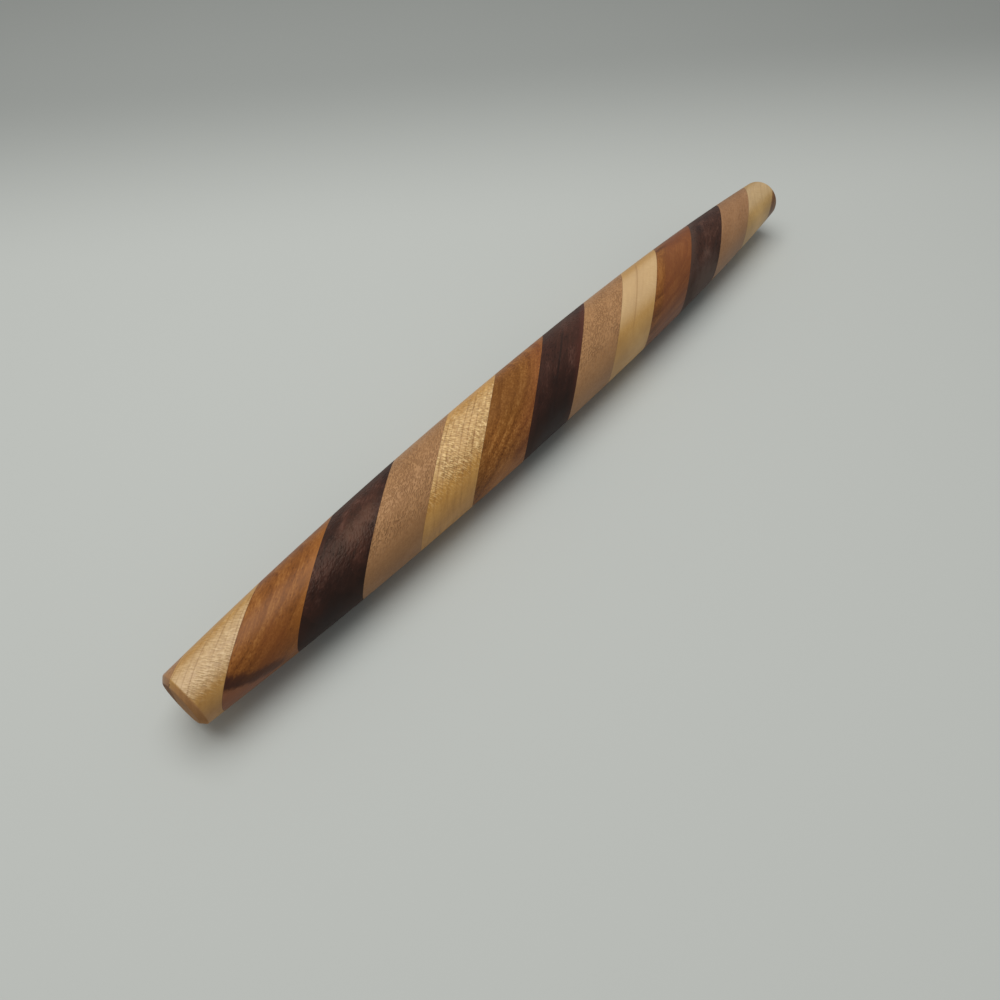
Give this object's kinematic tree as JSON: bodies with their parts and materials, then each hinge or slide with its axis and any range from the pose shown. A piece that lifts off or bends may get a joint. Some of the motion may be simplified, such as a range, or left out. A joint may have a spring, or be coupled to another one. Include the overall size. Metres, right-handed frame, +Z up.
{
  "type": "french rolling pin",
  "caption": "Tapered one-piece rolling pin turned from slanted boards of beech, maple, cherry and walnut, with bevelled ends.",
  "frame": {"origin": "the point of the belly's lowest line below the middle of the pin, which is the bottom centre of its bounding box", "axes": "+X along the pin's axis from the end that starts with beech and maple to the end that finishes in maple and cherry, +Z up, +Y across the pin"},
  "size_m": [0.495, 0.0444, 0.0445],
  "materials": {
    "beech": "oiled, satin",
    "maple": "oiled, satin",
    "cherry": "oiled, satin",
    "walnut": "oiled, satin"
  },
  "bodies": {
    "root": {"beech_1": "beech", "maple_1": "maple", "cherry_1": "cherry", "walnut_1": "walnut", "beech_2": "beech", "maple_2": "maple", "cherry_2": "cherry", "walnut_2": "walnut", "beech_3": "beech", "maple_3": "maple", "cherry_3": "cherry", "walnut_3": "walnut", "beech_4": "beech", "maple_4": "maple", "cherry_4": "cherry"}
  },
  "joints": []
}
